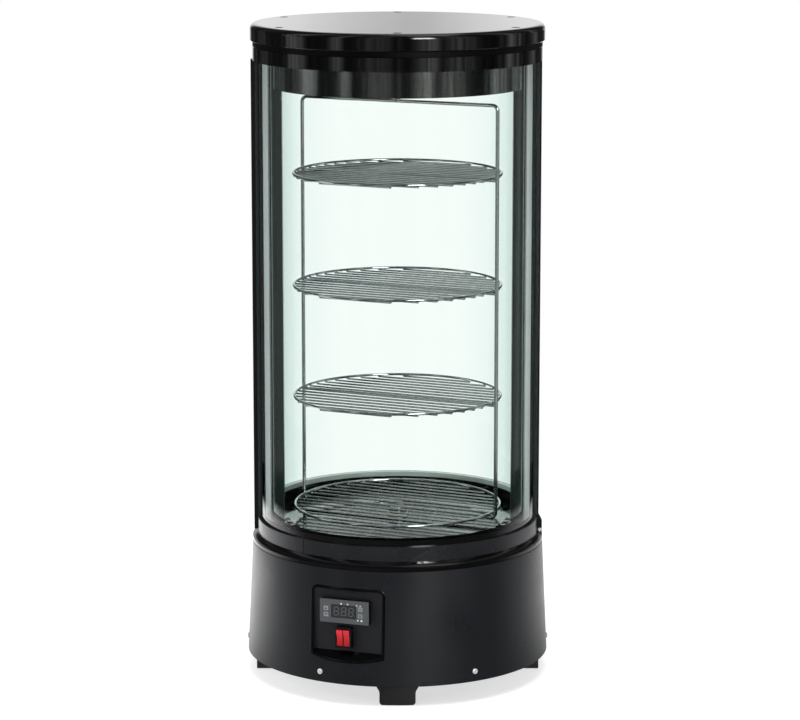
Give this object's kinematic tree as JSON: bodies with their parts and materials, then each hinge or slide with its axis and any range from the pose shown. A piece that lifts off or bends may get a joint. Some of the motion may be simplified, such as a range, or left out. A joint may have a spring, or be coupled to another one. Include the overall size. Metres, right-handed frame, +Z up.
{
  "type": "refrigerated cake display case",
  "caption": "Round glazed countertop cake display case, black, with a turning wire rack, a curved rear door and a refrigeration unit in its drum base.",
  "frame": {"origin": "on the surface under the feet, on the vertical axis of the case", "axes": "+Z up, -Y towards the customer and the control panel's side, +X to the viewer's right, +Y towards the door"},
  "size_m": [0.454, 0.4499, 0.97],
  "materials": {
    "skirt_paint": "satin",
    "deck_gloss": "gloss",
    "ring_gloss": "gloss",
    "frame_black": "satin",
    "foot_plastic": "satin",
    "galvanised": "satin",
    "screw_steel": "polished",
    "black_screw": "satin",
    "gland_nylon": "matt",
    "box_plastic": "matt",
    "compressor_paint": "satin",
    "rubber_mount": "matt",
    "coil_metal": "satin",
    "copper": "satin",
    "fan_plastic": "satin",
    "liner_plastic": "satin",
    "gear_alloy": "satin",
    "shaft_steel": "satin",
    "bush_nylon": "satin",
    "panel_plastic": "satin",
    "controller_grey": "satin",
    "display_lens": "gloss",
    "button_grey": "satin",
    "switch_black": "gloss",
    "rocker_red": "gloss",
    "foam": "matt",
    "floor_steel": "polished",
    "tray_metal": "satin",
    "pane_glass": "polished",
    "spacer_alloy": "satin",
    "post_paint": "satin",
    "ceiling_black": "gloss",
    "light_diffuser": "satin",
    "seal_rubber": "matt",
    "rack_wire": "polished"
  },
  "bodies": {
    "cabinet": {"feet": "foot_plastic", "base_pan": "galvanised", "base_skirt": "skirt_paint", "pan_screws": "screw_steel", "mains_gland": "gland_nylon", "terminal_box": "box_plastic", "compressor": "compressor_paint", "compressor_mounts": "rubber_mount", "condenser_coil": "coil_metal", "condenser_fan_housing": "galvanised", "refrigerant_lines": "copper", "evaporator_box": "liner_plastic", "evaporator_coil": "coil_metal", "evaporator_fan_plate": "galvanised", "rack_gearmotor": "gear_alloy", "rack_bushes": "bush_nylon", "control_panel": "panel_plastic", "thermostat": "controller_grey", "display_window": "display_lens", "switch_housing": "switch_black", "base_deck": "deck_gloss", "foam_insulation": "foam", "floor_tray": "tray_metal", "floor_plate": "floor_steel", "front_rail": "frame_black", "front_pane_outer": "pane_glass", "front_pane_inner": "pane_glass", "front_spacer": "spacer_alloy", "post_left": "post_paint", "post_right": "post_paint", "upper_ring": "ring_gloss", "head_plate": "galvanised", "cap_spacer": "frame_black", "ceiling_housing": "ceiling_black", "ceiling_light": "light_diffuser", "top_cap": "ring_gloss", "cap_screws": "black_screw", "hinge_bracket": "frame_black", "hinge_pins": "screw_steel"},
    "door": {"door_pane_outer": "pane_glass", "door_pane_inner": "pane_glass", "door_spacer": "spacer_alloy", "door_rails": "frame_black", "door_stile_hinge": "frame_black", "door_stile_handle": "frame_black", "door_gasket": "seal_rubber"},
    "rack": {"rack_frame": "rack_wire", "shelf_1": "rack_wire", "shelf_2": "rack_wire", "shelf_3": "rack_wire", "shelf_4": "rack_wire", "drive_shaft": "shaft_steel"},
    "rocker_left": {"rocker_left": "rocker_red"},
    "rocker_right": {"rocker_right": "rocker_red"},
    "button_up": {"button_up": "button_grey"},
    "button_down": {"button_down": "button_grey"},
    "button_set": {"button_set": "button_grey"},
    "button_defrost": {"button_defrost": "button_grey"},
    "condenser_fan": {"condenser_fan": "fan_plastic"},
    "evaporator_fan": {"evaporator_fan": "fan_plastic"}
  },
  "joints": [
    {"name": "door_hinge", "type": "hinge", "parent": "cabinet", "child": "door", "pos_m": [0.2075, 0.017, 0.56225], "axis": [0, 0, -1], "range_deg": [0, 110]},
    {"name": "rack_spin", "type": "hinge", "parent": "cabinet", "child": "rack", "pos_m": [0, 0, 0.234], "axis": [0, 0, 1], "continuous": true},
    {"name": "condenser_fan_spin", "type": "hinge", "parent": "cabinet", "child": "condenser_fan", "pos_m": [0.069, 0.11497, 0.094], "axis": [0, 1, 0], "continuous": true},
    {"name": "evaporator_fan_spin", "type": "hinge", "parent": "cabinet", "child": "evaporator_fan", "pos_m": [0.06, -0.093, 0.18], "axis": [0, 0, 1], "continuous": true},
    {"name": "rocker_left_tilt", "type": "hinge", "parent": "cabinet", "child": "rocker_left", "pos_m": [-0.08257, -0.20094, 0.0988], "axis": [-0.9415, 0.3371, 0], "range_deg": [0, 16]},
    {"name": "rocker_right_tilt", "type": "hinge", "parent": "cabinet", "child": "rocker_right", "pos_m": [-0.07278, -0.20444, 0.0988], "axis": [-0.9415, 0.3371, 0], "range_deg": [0, 16]},
    {"name": "button_up_press", "type": "slide", "parent": "cabinet", "child": "button_up", "axis": [0.3371, 0.9415, 0], "range_m": [0, 0.0006], "stiffness_N_per_m": 1000, "springref_m": -0.0003},
    {"name": "button_down_press", "type": "slide", "parent": "cabinet", "child": "button_down", "axis": [0.3371, 0.9415, 0], "range_m": [0, 0.0006], "stiffness_N_per_m": 1000, "springref_m": -0.0003},
    {"name": "button_set_press", "type": "slide", "parent": "cabinet", "child": "button_set", "axis": [0.3371, 0.9415, 0], "range_m": [0, 0.0006], "stiffness_N_per_m": 1000, "springref_m": -0.0003},
    {"name": "button_defrost_press", "type": "slide", "parent": "cabinet", "child": "button_defrost", "axis": [0.3371, 0.9415, 0], "range_m": [0, 0.0006], "stiffness_N_per_m": 1000, "springref_m": -0.0003}
  ]
}
